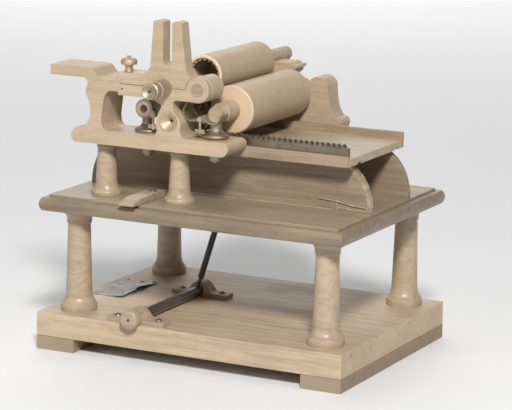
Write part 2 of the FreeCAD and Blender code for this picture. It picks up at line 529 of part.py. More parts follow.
# ---------------------------------------------------------------- bed
def bed():
    floor = block(BED_LEFT, BED_RIGHT, BED_FRONT + FASCIA_T, BED_REAR - RIM_T, BED_LOW, FLOOR_Z)
    for y in (WAY_FRONT_Y, WAY_REAR_Y):
        half = WAY_T / 2 + GAP
        floor = floor.cut(block(BED_LEFT - 1, BED_RIGHT + 1, y - half, y + half, BED_LOW - 1,
                                BED_LOW + GROOVE))
    save("bed_floor", floor)
    save("bed_fascia", block(BED_LEFT, BED_RIGHT, BED_FRONT, BED_FRONT + FASCIA_T, BED_LOW,
                             BED_LOW + FASCIA_H))
    save("bed_rear_rim", block(BED_LEFT, BED_RIGHT, BED_REAR - RIM_T, BED_REAR, BED_LOW,
                               BED_LOW + RIM_H))
    root, tip = PITCH_Z - DEDENDUM, PITCH_Z + ADDENDUM
    wide, mid, narrow = (TOOTH_PITCH * share for share in (0.40, 0.225, 0.085))
    count = int((BED_RIGHT - 3 - MID_X) / TOOTH_PITCH)
    first = -int((MID_X - BED_LEFT - 3) / TOOTH_PITCH)
    corners = [(BED_LEFT + 1, FLOOR_Z), (BED_LEFT + 1, root)]
    for n in range(first, count):
        x = MID_X + (n + 0.5) * TOOTH_PITCH
        corners += [(x - wide, root), (x - mid, PITCH_Z), (x - narrow, tip),
                    (x + narrow, tip), (x + mid, PITCH_Z), (x + wide, root)]
    corners += [(BED_RIGHT - 2, root), (BED_RIGHT - 2, FLOOR_Z)]
    save("bed_rack", plank(corners, RACK_Y + 0.1, RACK_Y + RACK_T))
    lean = math.radians(LEVER_LEAN)
    x = ROCK_X + LEVER_L * math.sin(lean) - YOKE_GRIP * math.tan(lean) / 2
    slot = LEVER_R / math.cos(lean) + YOKE_GRIP * math.tan(lean) / 2 + YOKE_PLAY
    low = LEVER_TOP - YOKE_GRIP
    yoke = block(x - slot - 5, x + slot + 5, LEVER_Y - 6, LEVER_Y + 6, low, BED_LOW)
    yoke = yoke.cut(block(x - slot, x + slot, LEVER_Y - 7, LEVER_Y + 7, low - 1, BED_LOW - 2))
    save("bed_yoke", yoke)


# ---------------------------------------------------------------- rock shaft and lever
def lever_height():
    """Height above the rock shaft at which the lever drives the bed."""
    return LEVER_L * math.cos(math.radians(LEVER_LEAN))


def rock_shaft():
    front, rear = BLOCK_FRONT, BLOCK_REAR
    save("rock_shaft", turned_y(ROCK_X, ROCK_Z, 0, [
        (0, front - 9.5), (3.2, front - 9.5), (3.2, front + BLOCK_T + GAP),
        (ROCK_R, front + BLOCK_T + GAP), (ROCK_R, rear - GAP), (3.2, rear - GAP),
        (3.2, rear + BLOCK_T - 0.5), (0, rear + BLOCK_T - 0.5)]).cut(
        spun(rod_z(ROCK_X, LEVER_Y, 1.6, ROCK_Z, ROCK_Z + 20), ROCK_X, ROCK_Z, LEVER_LEAN)))
    wheel = turned_y(ROCK_X, ROCK_Z, front - 13.0, [
        (1.0, 3.5), (1.0, 0.9), [(4.0, 0.2), (7.4, 0.5)], (8.4, 1.2), (8.8, 2.4), (8.8, 3.6),
        (7.6, 4.4), (7.6, 6.0), (8.2, 6.8), (8.2, 8.4), (5.2, 8.7), (5.2, 12.6), (3.2, 12.6), (3.2, 3.5)])
    save("rock_wheel", wheel)
    pin = rod_z(ROCK_X, LEVER_Y, 1.6, ROCK_Z, ROCK_Z + 15.0)
    rod = rod_z(ROCK_X, LEVER_Y, LEVER_R, ROCK_Z + 14.0, ROCK_Z + LEVER_L)
    save("lever_rod", spun(pin.fuse(rod).removeSplitter(), ROCK_X, ROCK_Z, LEVER_LEAN))
    screws = []
    for name, y in (("pillow_front", front), ("pillow_rear", rear)):
        h = ROCK_RISE
        outline = [(ROCK_X - 28.5, BASE_TOP), (ROCK_X + 28.5, BASE_TOP), (ROCK_X + 28.5, BASE_TOP + 4.0),
                   (ROCK_X + 15, BASE_TOP + 4.2),
                   [(ROCK_X + 10.6, BASE_TOP + 6.4), (ROCK_X + 7.4, BASE_TOP + h + 4.6),
                    (ROCK_X, BASE_TOP + h + 8.4), (ROCK_X - 7.4, BASE_TOP + h + 4.6),
                    (ROCK_X - 10.6, BASE_TOP + 6.4), (ROCK_X - 15, BASE_TOP + 4.2)],
                   (ROCK_X - 28.5, BASE_TOP + 4.0)]
        piece = plank(outline, y, y + BLOCK_T)
        piece = piece.cut(rod_y(ROCK_X, ROCK_Z, 3.2 + RUN, y - 1, y + BLOCK_T + 1))
        for side in (-20.5, 20.5):
            x, mid = ROCK_X + side, y + BLOCK_T / 2
            piece = piece.cut(rod_z(x, mid, 1.5 + SEAT, BASE_TOP - 1, BASE_TOP + 10))
            head = Part.makeSphere(3.4, V(x, mid, BASE_TOP + 4.1 - 1.2)).common(
                rod_z(x, mid, 3.2, BASE_TOP + 4.2, BASE_TOP + 9))
            screw = head.fuse(rod_z(x, mid, 1.5, BASE_TOP, BASE_TOP + 4.2))
            screws.append(screw.cut(block(x - 4, x + 4, mid - 0.45, mid + 0.45, BASE_TOP + 5.6,
                                          BASE_TOP + 9)))
        save(name, piece)
    save("base_screws", *screws)


# ---------------------------------------------------------------- latch and tin plate
def latch():
    """Wooden turn-button screwed to the table's front edge, with a sloping outer end."""
    x, y, t = LATCH_X, LATCH_Y, 5.5
    z = TABLE_TOP + GAP
    side = [(y + 9.0, z), (y + 9.0, z + t), (y - 34.0, z + t), (y - 48.0, z + 1.8), (y - 48.0, z)]
    edges = path(side + [side[0]], lambda p: V(x - 7.5, p[0], p[1]))
    bar = Part.Face(Part.Wire(edges)).extrude(V(15, 0, 0))
    bar = bar.cut(rod_z(x, y, 1.6 + RUN, z - 1, z + t + 1))
    bar.rotate(V(x, y, 0), V(0, 0, 1), LATCH_TURN)
    save("latch", bar)
    head = Part.makeSphere(4.2, V(x, y, z + t + GAP - 2.2)).common(
        rod_z(x, y, 3.6, z + t + GAP, z + t + 6))
    save("latch_screw", head.fuse(rod_z(x, y, 1.6, TABLE_TOP, z + t + GAP)).cut(
        block(x - 5, x + 5, y - 0.45, y + 0.45, z + t + GAP + 1.0, z + t + 6)))


def tin_plate():
    x0, x1, y0, y1 = PLATE
    save("tin_plate", block(x0, x1, y0, y1, BASE_TOP, BASE_TOP + 0.6))
    tacks = [rod_z(x, y, 1.3, BASE_TOP + 0.6, BASE_TOP + 1.4)
             for x, y in ((x0 + 5, y1 - 3), (x0 + 19, y1 - 4), (x1 - 4, y1 - 3), (x0 + 5, y0 + 5))]
    save("plate_tacks", *tacks)


LEVER_TOP = ROCK_Z + lever_height()

base()
columns()
table()
ways()
short_columns()
front_frame()
rear_frame()
top_bar()
clamp_screw()
pedestals()
rollers()
crank()
bed()
rock_shaft()
latch()
tin_plate()
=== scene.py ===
"""Looks for the small wooden cylinder press: finishes, eased edges and small fittings."""
import json
import math

import bmesh
import bpy
import numpy as np
from mathutils import Matrix, Vector

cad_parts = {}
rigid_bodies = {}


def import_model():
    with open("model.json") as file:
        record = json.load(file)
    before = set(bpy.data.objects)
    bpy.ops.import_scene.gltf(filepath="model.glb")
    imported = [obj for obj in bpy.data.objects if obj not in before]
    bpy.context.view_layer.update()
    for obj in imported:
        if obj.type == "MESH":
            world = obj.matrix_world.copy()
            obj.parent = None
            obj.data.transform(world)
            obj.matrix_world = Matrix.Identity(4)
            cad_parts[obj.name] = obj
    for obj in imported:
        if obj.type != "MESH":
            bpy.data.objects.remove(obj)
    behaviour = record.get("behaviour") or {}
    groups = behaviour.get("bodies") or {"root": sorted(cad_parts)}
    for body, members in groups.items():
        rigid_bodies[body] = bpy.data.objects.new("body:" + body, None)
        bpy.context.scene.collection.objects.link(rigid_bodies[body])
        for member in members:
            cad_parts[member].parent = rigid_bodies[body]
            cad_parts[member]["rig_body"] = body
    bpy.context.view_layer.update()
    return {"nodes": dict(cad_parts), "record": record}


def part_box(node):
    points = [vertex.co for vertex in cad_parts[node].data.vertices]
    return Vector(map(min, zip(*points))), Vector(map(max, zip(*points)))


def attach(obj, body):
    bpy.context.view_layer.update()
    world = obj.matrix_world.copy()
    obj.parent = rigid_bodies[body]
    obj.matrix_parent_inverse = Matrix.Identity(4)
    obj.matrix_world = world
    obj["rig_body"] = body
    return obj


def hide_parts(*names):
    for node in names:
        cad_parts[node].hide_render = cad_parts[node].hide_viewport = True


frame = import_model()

MM = 0.001

# ---------------------------------------------------------------- camera, lights and floor
AZIMUTH, ELEVATION, ROLL = 26.52, 11.61, 1.09      # degrees
DISTANCE, TARGET = 2.267, (0.0113, 0.0, 0.1287)    # metres
LENS, SENSOR = 177.7, 36.0                         # mm
MIDDLE = (0, 0, 0.13)                              # metres, where the lights aim
LIGHTS = (                # name, place in metres, aim, size in metres, power in watts
    ("key", (1.1, -1.9, 1.8), MIDDLE, (0.42, 0.42), 80),
    ("side", (-1.9, -2.1, 1.0), MIDDLE, (1.0, 1.0), 9),
    ("top", (-0.3, 0.0, 2.4), (0, 0, 0.1), (1.1, 1.1), 12),
    ("backdrop", (-1.9, 3.2, 2.6), (-1.9, 3.6, 0.0), (3.2, 2.6), 112),
)
SKY = 0.03                # strength of the even white light from all round


def camera():
    """Long lens from the front right, a little above the table."""
    turn, rise, roll = (math.radians(a) for a in (AZIMUTH, ELEVATION, ROLL))
    forward = Vector((-math.sin(turn) * math.cos(rise), math.cos(turn) * math.cos(rise),
                      -math.sin(rise)))
    right = forward.cross(Vector((0, 0, 1))).normalized()
    up = right.cross(forward)
    side = math.cos(roll) * right + math.sin(roll) * up
    top = math.cos(roll) * up - math.sin(roll) * right
    data = bpy.data.cameras.new("camera")
    data.lens, data.sensor_width, data.clip_end = LENS, SENSOR, 30.0
    obj = bpy.data.objects.new("camera", data)
    bpy.context.scene.collection.objects.link(obj)
    axes = Matrix((side, top, -forward)).transposed().to_4x4()
    obj.matrix_world = Matrix.Translation(Vector(TARGET) - DISTANCE * forward) @ axes
    bpy.context.scene.camera = obj


def area_light(name, at, aim_at, size, power):
    """A soft rectangular light that looks from one point at another."""
    data = bpy.data.lights.new(name, "AREA")
    data.shape = "RECTANGLE"
    data.size, data.size_y = size
    data.energy = power
    obj = bpy.data.objects.new(name, data)
    bpy.context.scene.collection.objects.link(obj)
    aim = (Vector(aim_at) - Vector(at)).to_track_quat("-Z", "Y")
    obj.matrix_world = Matrix.Translation(at) @ aim.to_matrix().to_4x4()


def studio():
    """Round pale floor that rises into a backdrop on every side, and soft studio light.

    The floor is a profile of (reach, height), flat and then a quarter circle, turned about Z.
    """
    flat, radius, tall = 4.5, 2.0, 3.0
    bend = np.linspace(0, math.pi / 2, 20)
    reach = np.concatenate([[0.001, 1.5, 3.0], flat + radius * np.sin(bend), [flat + radius]])
    height = np.concatenate([[0.0, 0.0, 0.0], radius - radius * np.cos(bend), [radius + tall]])
    turn = np.linspace(0, 2 * math.pi, 72, endpoint=False)
    spots = np.stack([reach[:, None] * np.cos(turn), reach[:, None] * np.sin(turn),
                      np.repeat(height[:, None], len(turn), 1)], -1)
    floor = grid_piece("studio_floor", spots[::-1], wrap=True)
    floor.data.materials.append(studio_paper())
    for light in LIGHTS:
        area_light(*light)
    world = bpy.data.worlds.new("studio")
    world.use_nodes = True
    ground = world.node_tree.nodes["Background"]
    ground.inputs[0].default_value = (1, 1, 1, 1)
    ground.inputs[1].default_value = SKY
    bpy.context.scene.world = world
    bpy.context.scene.view_settings.view_transform = "Standard"


# ---------------------------------------------------------------- mesh helpers
def mesh_piece(name, points, faces):
    mesh = bpy.data.meshes.new(name)
    mesh.from_pydata(np.asarray(points, float).reshape(-1, 3).tolist(), [],
                     np.asarray(faces).tolist())
    mesh.polygons.foreach_set("use_smooth", np.ones(len(mesh.polygons), bool))
    obj = bpy.data.objects.new(name, mesh)
    bpy.context.scene.collection.objects.link(obj)
    return obj


def grid_piece(name, spots, wrap=False):
    """Quads between neighbours of a grid of points; wrap joins the last column to the first."""
    rows, cols = spots.shape[:2]
    row = np.arange(rows - 1)[:, None]
    col = np.arange(cols if wrap else cols - 1)[None, :]
    after = (col + 1) % cols
    faces = np.stack([row * cols + col, row * cols + after, (row + 1) * cols + after,
                      (row + 1) * cols + col], -1).reshape(-1, 4)
    return mesh_piece(name, spots, faces)


def close(obj, outward=True):
    """Merge doubled points, so that poles and seams close, and point the faces outwards."""
    shell = bmesh.new()
    shell.from_mesh(obj.data)
    bmesh.ops.remove_doubles(shell, verts=shell.verts, dist=1e-7)
    if outward:
        bmesh.ops.recalc_face_normals(shell, faces=shell.faces)
    shell.to_mesh(obj.data)
    shell.free()
    return obj


def finish_piece(obj, body, slot, finish=None, replaces=()):
    """Give a piece its finish, let it ride on its body and hide the nodes it stands for."""
    obj.data.materials.clear()
    obj.data.materials.append(FINISHES[finish or slot])
    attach(obj, body)
    if replaces:
        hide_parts(*replaces)
    return obj


def studs(name, centres, profile, along="z", sides=20):
    """Small turned heads: a profile of (radius, height) carried round an axis at each centre.

    A point is centre + r cos a on one axis, r sin a on the next and h along the head's axis.
    """
    axes = {"z": (0, 1, 2), "-y": (0, 2, 1), "x": (1, 2, 0)}[along]
    sign = -1.0 if along == "-y" else 1.0
    r, h = np.array(profile, float).T * MM
    a = np.linspace(0, 2 * math.pi, sides, endpoint=False)
    one = np.zeros((len(r), sides, 3))
    one[..., axes[0]] = r[:, None] * np.cos(a)
    one[..., axes[1]] = r[:, None] * np.sin(a)
    one[..., axes[2]] = sign * h[:, None]
    grid = np.arange(len(r) * sides).reshape(len(r), sides)
    after = np.roll(grid, -1, 1)
    faces = np.stack([grid[:-1], after[:-1], after[1:], grid[1:]], -1).reshape(-1, 4)
    centres = np.asarray(centres, float)
    points = (one.reshape(1, -1, 3) + centres[:, None, :]).reshape(-1, 3)
    shift = np.arange(len(centres))[:, None, None] * one[..., 0].size
    return close(mesh_piece(name, points, (faces[None] + shift).reshape(-1, 4)))


# ---------------------------------------------------------------- shader helpers
class Value:
    """A shader value; arithmetic on it adds Math nodes."""

    def __init__(self, finish, socket):
        self.finish, self.socket = finish, socket

    def math(self, operation, *others):
        return self.finish.node("ShaderNodeMath", {"operation": operation},
                                dict(enumerate((self, *others))))

    def _flip(self, operation, other):
        return self.finish.node("ShaderNodeMath", {"operation": operation}, {0: other, 1: self})

    def __add__(self, other): return self.math("ADD", other)
    def __radd__(self, other): return self._flip("ADD", other)
    def __sub__(self, other): return self.math("SUBTRACT", other)
    def __rsub__(self, other): return self._flip("SUBTRACT", other)
    def __mul__(self, other): return self.math("MULTIPLY", other)
    def __rmul__(self, other): return self._flip("MULTIPLY", other)
    def __truediv__(self, other): return self.math("DIVIDE", other)
    def sine(self): return self.math("SINE")
    def top(self, other): return self.math("MAXIMUM", other)
    def least(self, other): return self.math("MINIMUM", other)
    def size(self): return self.math("ABSOLUTE")

    def step(self, low, high, to_low=0.0, to_high=1.0):
        """Runs from to_low at low to to_high at high, and stays level outside."""
        return self.finish.node("ShaderNodeMapRange", {"clamp": True}, {
            0: self, 1: low, 2: high, 3: to_low, 4: to_high})


class Finish:
    """One material. node() adds any node: its type, its settings, then its sockets."""

    def __init__(self, name):
        self.material = bpy.data.materials.new(name)
        self.material.use_nodes = True
        self.tree = self.material.node_tree
        self.shader = self.tree.nodes["Principled BSDF"]

    def node(self, kind, settings, sockets, output=0):
        made = self.tree.nodes.new(kind)
        for key, setting in settings.items():
            setattr(made, key, setting)
        for key, given in sockets.items():
            if isinstance(given, Value):
                self.tree.links.new(given.socket, made.inputs[key])
            elif made.inputs[key].type == "RGBA":
                made.inputs[key].default_value = (*given, 1.0)
            else:
                made.inputs[key].default_value = given
        return Value(self, made.outputs[output])

    def dress(self, **sockets):
        """Set the shader's own sockets; a Value is linked and anything else is set directly."""
        for key, given in sockets.items():
            socket = self.shader.inputs[key.replace("_", " ")]
            if isinstance(given, Value):
                self.tree.links.new(given.socket, socket)
            else:
                socket.default_value = given
        return self.material

    def place(self, scale=(1, 1, 1), turn=(0, 0, 0), shift=(0, 0, 0)):
        at = self.node("ShaderNodeTexCoord", {}, {}, "Object")
        return self.node("ShaderNodeMapping", {}, {"Vector": at, "Location": shift,
                                                   "Rotation": turn, "Scale": scale})

    def axes(self, where=None):
        where = where or self.node("ShaderNodeTexCoord", {}, {}, "Object")
        return [self.node("ShaderNodeSeparateXYZ", {}, {0: where}, k) for k in range(3)]

    def noise(self, where, scale, detail=3.0, rough=0.55, warp=0.0):
        return self.node("ShaderNodeTexNoise", {}, {"Vector": where, "Scale": scale,
                         "Detail": detail, "Roughness": rough, "Distortion": warp})

    def mix(self, share, first, second):
        return self.node("ShaderNodeMix", {"data_type": "RGBA"}, {0: share, 6: first, 7: second},
                         2)

    def bump(self, height, depth, strength=1.0):
        return self.node("ShaderNodeBump", {}, {"Height": height, "Distance": depth,
                                                "Strength": strength})


# ---------------------------------------------------------------- finishes
WOOD_TINT = (1.26, 0.955, 0.65)      # each tint has a brightness of 1
DARK_TINT = (1.30, 0.945, 0.65)
BRASS_TINT = (1.18, 0.975, 0.72)
STEEL_TINT = (1.02, 1.0, 0.95)
ALONG = {"x": (0, 0, 0), "y": (0, 0, math.pi / 2), "z": (0, math.pi / 2, 0)}


def shade(brightness, tint=WOOD_TINT):
    """A colour of this brightness in a tint."""
    return tuple(brightness * c for c in tint)


def studio_paper():
    """Seamless paper, almost white."""
    f = Finish("studio_paper")
    cloud = f.noise(f.place(), 3.0, 2.0)
    return f.dress(Base_Color=f.mix(cloud, (0.77, 0.77, 0.77), (0.79, 0.79, 0.79)), Roughness=0.9,
                   Specular_IOR_Level=0.1)


def wood(name, tone, along, seed, depth=0.3, rough=0.5, gloss=0.0, figure=1.0, dirt=0.3,
         tint=WOOD_TINT, marks=None, ends=None):
    """Old planed or turned wood, grain along one axis.

    Growth bands are the sine of a stretched, warped noise; fibre is a finer noise stretched
    thirty times along the grain; pores are short dark dashes; a cloud of grime and a few
    dents and pale rubs lie over them. marks, if given, adds this piece's own wear. The
    bands fade within a millimetre of both ends of the node named by ends, as end grain does.
    """
    f = Finish(name)
    turn, shift = ALONG[along], (seed * 0.173, seed * 0.311, seed * 0.457)
    light, dark = shade(tone * (1 + depth * 0.35), tint), shade(tone * (1 - depth), tint)
    ring = f.noise(f.place((0.09, 1, 1), turn, shift), 42.0, 3.0, 0.55, 0.5)
    bands = (ring * 46.0).sine().step(-1.0, 1.0)
    if ends:
        axis = "xyz".index(along)
        low, high = (corner[axis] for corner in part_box(ends))
        reach = f.axes()[axis]
        bands = bands * (reach - low).least(high - reach).step(0.0003, 0.0009)
    fibre = f.noise(f.place((0.03, 1, 1), turn, shift), 950.0, 3.0, 0.6)
    streak = f.noise(f.place((0.015, 1, 1), turn, shift), 210.0, 2.0, 0.6).step(0.35, 0.65)
    pores = f.noise(f.place((0.06, 1, 1), turn, shift), 2300.0, 1.0).step(0.62, 0.72)
    cloud = f.noise(f.place(shift=shift), 17.0, 5.0, 0.62)
    grime = cloud.step(0.48, 0.74)
    rubbed = cloud.step(0.46, 0.28)
    dents = f.noise(f.place(shift=shift), 230.0, 2.0).step(0.69, 0.75)
    paint = f.mix(bands * (0.40 * figure) + fibre.step(0.3, 0.7) * 0.35 + streak * 0.3,
                  light, dark)
    paint = f.mix(rubbed * 0.25, paint, shade(tone * 1.25, tint))
    paint = f.mix(grime * dirt, paint, shade(tone * 0.5, tint))
    paint = f.mix((pores * 0.35).top(dents * 0.3), paint, shade(tone * 0.35, tint))
    height = fibre * 0.5 - pores * 0.7 - dents * 0.9 + bands * 0.1
    if marks:
        paint, height = marks(f, paint, height)
    return f.dress(Base_Color=paint, Normal=f.bump(height, 0.0001, 0.7),
                   Roughness=(fibre * 0.4 + grime).step(0.1, 1.2, rough - 0.07, rough + 0.15),
                   Specular_IOR_Level=0.4, Coat_Weight=gloss, Coat_Roughness=0.22)


def metal(name, tone, tint, seed, rough=0.3, film=0.6, body=1.0, turned=None):
    """Hand-finished metal: a dull film in clouds, fine scratches and small dark pits.

    turned, if given, is the (x, z) of an axis along Y whose lathe rings show on the faces.
    """
    f = Finish(name)
    shift = (seed * 0.21, seed * 0.37, seed * 0.53)
    cloud = f.noise(f.place(shift=shift), 95.0, 5.0, 0.65).step(0.36, 0.64)
    scratch = f.noise(f.place((1, 1, 0.08), (0.4, 0.7, 0.2), shift), 1700.0, 2.0)
    pits = f.noise(f.place(shift=shift), 800.0, 2.0).step(0.67, 0.73)
    paint = f.mix(cloud * film, shade(tone * 1.15, tint), shade(tone * 0.6, tint))
    paint = f.mix(pits * 0.6, paint, shade(tone * 0.25, tint))
    height = scratch * 0.4 - pits
    if turned:
        x, _, z = f.axes()
        reach = ((x - turned[0]) * (x - turned[0]) + (z - turned[1]) * (z - turned[1]))
        height = height + (reach.math("SQRT") * 9000.0).sine() * 0.35
    return f.dress(Base_Color=paint, Metallic=body, Normal=f.bump(height, 0.00006, 0.7),
                   Roughness=(cloud + scratch * 0.5).step(0.2, 1.4, rough - 0.08, rough + 0.22))


def centre_of(node):
    """(x, z) in the middle of a node's box."""
    low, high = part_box(node)
    return (low.x + high.x) / 2, (low.z + high.z) / 2


def chipped_end(f, paint, height):
    """Veneer chipped along the front way's curved right end, showing pale wood."""
    low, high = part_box("way_front")
    tall = high.z - low.z
    x, y, z = f.axes()
    across = ((x - (high.x - 0.034)) / 0.034).top(0.0)
    up = (z - low.z) / tall
    rim = (across * across + up * up).math("SQRT").step(0.90, 0.94)
    flakes = f.noise(f.place((1, 0.3, 1)), 110.0, 3.0).step(0.47, 0.53)
    chips = rim * flakes * across.step(0.02, 0.1) * (y * -1.0).step(-0.001, 0.001)
    return f.mix(chips * 0.85, paint, shade(0.36)), height - chips * 1.5


# light is the brightness of the painted highlight on the flat ends and their chamfer
def turned_end(node, light):
    """Rings cut by the lathe on a roller's flat ends, and a bright chamfer: painted highlight
    that lightens each whole flat end and the chamfer round it.
    """
    cx, cz = centre_of(node)
    low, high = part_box(node)

    def marks(f, paint, height):
        x, y, z = f.axes()
        reach = ((x - cx) * (x - cx) + (z - cz) * (z - cz)).math("SQRT")
        # painted highlight: the flat ends and the band within 1.4 mm of them are mixed towards a
        # pale colour
        painted_end_highlight = ((y - low.y).size()).least((y - high.y).size()).step(0.0014, 0.0006)
        ring = (reach * 5200.0).sine().step(-1, 1)
        return (f.mix(painted_end_highlight * (0.75 + ring * 0.2), paint, shade(light)),
                height + ring * painted_end_highlight * 0.5)
    return marks


def lathe_rings(node):
    """Fine rings round a small disc, darker towards the hole at its centre."""
    cx, cz = centre_of(node)

    def marks(f, paint, height):
        x, _, z = f.axes()
        reach = ((x - cx) * (x - cx) + (z - cz) * (z - cz)).math("SQRT")
        ring = (reach * 7000.0).sine().step(-1, 1)
        dark = ring * 0.18 + reach.step(0.0022, 0.0010) * 0.6
        return f.mix(dark, paint, shade(0.12)), height + ring * 0.4
    return marks


def base_marks(f, paint, height):
    """Pale scrubbed patch and fine cracks along the grain of the base's top."""
    _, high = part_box("base_board")
    z = f.axes()[2]
    patch = f.noise(f.place((0.35, 1, 1), shift=(0.2, 0.4, 0)), 13.0, 3.0).step(0.52, 0.62)
    lines = f.noise(f.place((0.02, 1, 1), shift=(0.7, 0.1, 0)), 190.0, 2.0).step(0.66, 0.70)
    upper = z.step(high.z - 0.0006, high.z - 0.0001)
    paint = f.mix(patch * 0.22, paint, shade(0.5))
    return f.mix(lines * 0.5, paint, shade(0.09)), height - lines * upper


def finishes():
    """Every finish by name: the record's material slots first, then those of small marks."""
    crank, bush = centre_of("crank_shaft"), centre_of("roller_bush")
    return {
        "base_wood": wood("base_wood", 0.46, "x", 1, 0.28, 0.55, marks=base_marks,
                          ends="base_board"),
        "cleat_wood": wood("cleat_wood", 0.28, "y", 2, 0.2, 0.7, dirt=0.15,
                           ends="base_cleats"),
        "table_wood": wood("table_wood", 0.29, "x", 3, 0.28, 0.42, 0.1, dirt=0.35),
        "moulding_wood": wood("moulding_wood", 0.225, "x", 4, 0.34, 0.42, 0.15, dirt=0.4),
        "way_wood": wood("way_wood", 0.25, "x", 5, 0.3, 0.5, marks=chipped_end),
        "frame_wood": wood("frame_wood", 0.40, "x", 6, 0.2, 0.45, 0.1, figure=0.7),
        "bar_wood": wood("bar_wood", 0.40, "x", 7, 0.2, 0.45, 0.1, figure=0.7),
        "dowel_wood": wood("dowel_wood", 0.30, "y", 8, 0.35, 0.6),
        "column_wood": wood("column_wood", 0.38, "z", 9, 0.24, 0.42, 0.14, dirt=0.2),
        "bush_metal": metal("bush_metal", 0.50, BRASS_TINT, 1, 0.62, 0.5, turned=bush),
        "brass": metal("brass", 0.50, BRASS_TINT, 2, 0.6),
        "bearing_metal": metal("bearing_metal", 0.36, BRASS_TINT, 3, 0.5),
        "crank_metal": metal("crank_metal", 0.44, BRASS_TINT, 4, 0.55, turned=crank),
        "gear_metal": metal("gear_metal", 0.35, BRASS_TINT, 5, 0.38),
        "steel": metal("steel", 0.5, STEEL_TINT, 6, 0.3),
        "roller_wood": wood("roller_wood", 0.30, "y", 10, 0.25, 0.5),
        # turned_end's second number is the brightness of the painted highlight on the rollers'
        # flat ends
        "cylinder_wood": wood("cylinder_wood", 0.38, "y", 11, 0.14, 0.5, 0.05, 0.5, 0.15,
                              marks=turned_end("cylinder_body", 0.53)),
        "upper_wood": wood("upper_wood", 0.37, "y", 12, 0.16, 0.5, 0.05, 0.5, 0.15,
                           marks=turned_end("upper_cylinder", 0.70)),
        "journal_wood": wood("journal_wood", 0.38, "y", 13, 0.3, 0.6),
        "bed_wood": wood("bed_wood", 0.38, "x", 14, 0.25, 0.45, 0.1, dirt=0.4),
        "fascia_wood": wood("fascia_wood", 0.285, "x", 15, 0.28, 0.5),
        "rack_metal": metal("rack_metal", 0.24, BRASS_TINT, 7, 0.42),
        "dark_wood": wood("dark_wood", 0.055, "y", 16, 0.4, 0.28, 0.5, tint=DARK_TINT),
        "black_steel": metal("black_steel", 0.05, STEEL_TINT, 8, 0.3, body=0.3),
        "pillow_wood": wood("pillow_wood", 0.38, "x", 17, 0.3, 0.55),
        "screw_steel": metal("screw_steel", 0.26, STEEL_TINT, 9, 0.52),
        "latch_wood": wood("latch_wood", 0.38, "y", 18, 0.35, 0.5),
        "tin": metal("tin", 0.34, STEEL_TINT, 10, 0.45, 0.9, body=0.35),
        "wheel_wood": wood("wheel_wood", 0.36, "y", 22, 0.22, 0.4, 0.2,
                           marks=lathe_rings("rock_wheel")),
        "glue": wood("glue", 0.42, "x", 19, 0.3, 0.6),
        "nail_dark": metal("nail_dark", 0.07, STEEL_TINT, 11, 0.5, body=0.5),
        "pale_wood": wood("pale_wood", 0.42, "x", 20, 0.3, 0.5),
        "crack_dark": wood("crack_dark", 0.035, "x", 21, 0.3, 0.8),
        "cramp_metal": metal("cramp_metal", 0.8, STEEL_TINT, 12, 0.6),
    }


FINISHES = finishes()
NODE_FINISH = {"upper_cylinder": "upper_wood", "upper_ring": "upper_wood",
               "rock_wheel": "wheel_wood"}

# ---------------------------------------------------------------- carried-over pieces
SHARP = math.radians(35)  # edges that turn more than this are eased
EASED = {                 # node and the width of its eased edges in millimetres
    "base_board": 0.9, "base_cleats": 0.5, "table_panel": 0.4, "moulding_front": 0.3,
    "moulding_rear": 0.3, "moulding_left": 0.3, "moulding_right": 0.3, "way_front": 0.25,
    "way_rear": 0.25, "front_frame": 0.55, "rear_frame": 0.55, "top_bar": 0.4, "fork_cap": 0.6,
    "rear_bar": 0.5, "bed_floor": 0.3, "bed_fascia": 0.25, "bed_rear_rim": 0.4,
    "pillow_front": 0.4, "pillow_rear": 0.4, "latch": 0.35,
}


def dress_nodes():
    """Every CAD node takes the finish of its material slot, or its own where one is named."""
    for row in frame["record"]["subparts"]:
        mesh = frame["nodes"][row["node"]].data
        mesh.materials.clear()
        mesh.materials.append(FINISHES[NODE_FINISH.get(row["node"], row["material_slot"])])


def eased(node, width):
    """A board with its corners taken off by hand.

    The node's triangles are merged and its flat faces joined, then each edge sharper than 35
    degrees gets a small round of this width in millimetres.
    """
    source = frame["nodes"][node]
    slot = next(r["material_slot"] for r in frame["record"]["subparts"] if r["node"] == node)
    shell = bmesh.new()
    shell.from_mesh(source.data)
    bmesh.ops.remove_doubles(shell, verts=shell.verts, dist=2e-6)
    bmesh.ops.dissolve_limit(shell, angle_limit=math.radians(0.2), verts=shell.verts,
                             edges=shell.edges)
    mesh = bpy.data.meshes.new(node + "_eased")
    shell.to_mesh(mesh)
    shell.free()
    for attribute in [a.name for a in mesh.attributes if a.name == "custom_normal"]:
        mesh.attributes.remove(mesh.attributes[attribute])
    mesh.polygons.foreach_set("use_smooth", np.ones(len(mesh.polygons), bool))
    obj = bpy.data.objects.new(node + "_eased", mesh)
    bpy.context.scene.collection.objects.link(obj)
    ease = obj.modifiers.new("ease", "BEVEL")
    ease.width, ease.segments = width * MM, 2
    ease.limit_method, ease.angle_limit = "ANGLE", SHARP
    ease.use_clamp_overlap = True
    weigh = obj.modifiers.new("normals", "WEIGHTED_NORMAL")
    weigh.keep_sharp = False
    return finish_piece(obj, source["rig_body"], slot, replaces=(node,))


